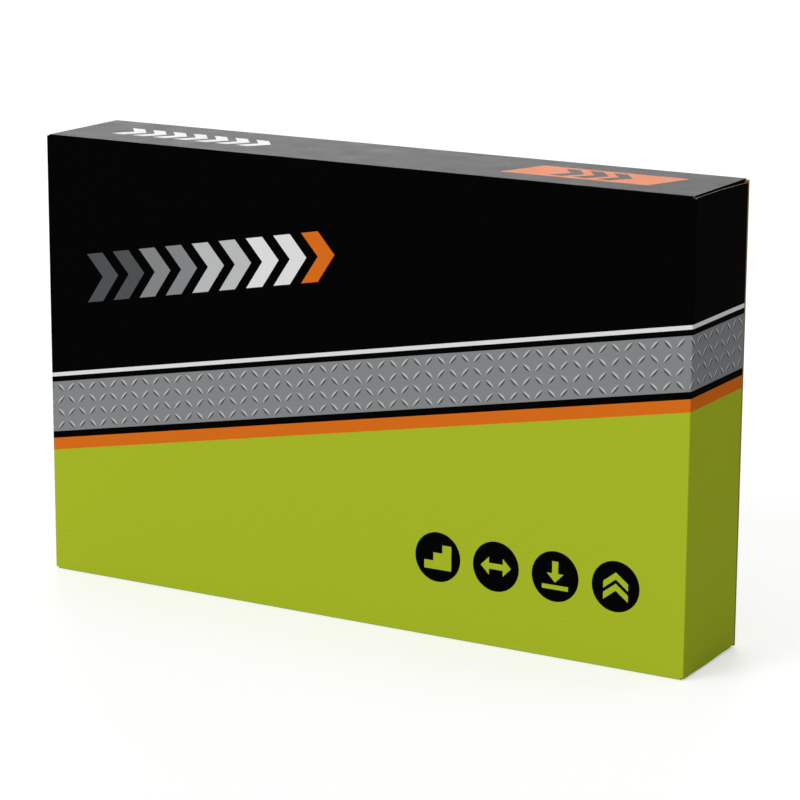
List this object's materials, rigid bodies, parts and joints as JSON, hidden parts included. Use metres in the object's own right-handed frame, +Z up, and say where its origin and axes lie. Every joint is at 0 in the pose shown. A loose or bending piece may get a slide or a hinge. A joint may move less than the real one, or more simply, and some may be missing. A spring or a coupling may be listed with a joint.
{
  "type": "printed retail carton",
  "caption": "Flat sealed carton of fluted board that stands on its long narrow side, with scored folds, a glued back seam and tucked end flaps glued shut",
  "frame": {"origin": "centre of the long narrow bottom side, on the surface that the carton stands on", "axes": "X along the carton's length, Y through its depth with the front panel facing -Y, Z up"},
  "size_m": [0.52, 0.086, 0.33],
  "materials": {
    "printed_board": "satin varnish over print"
  },
  "bodies": {
    "root": {"carton": "printed_board"}
  },
  "joints": []
}
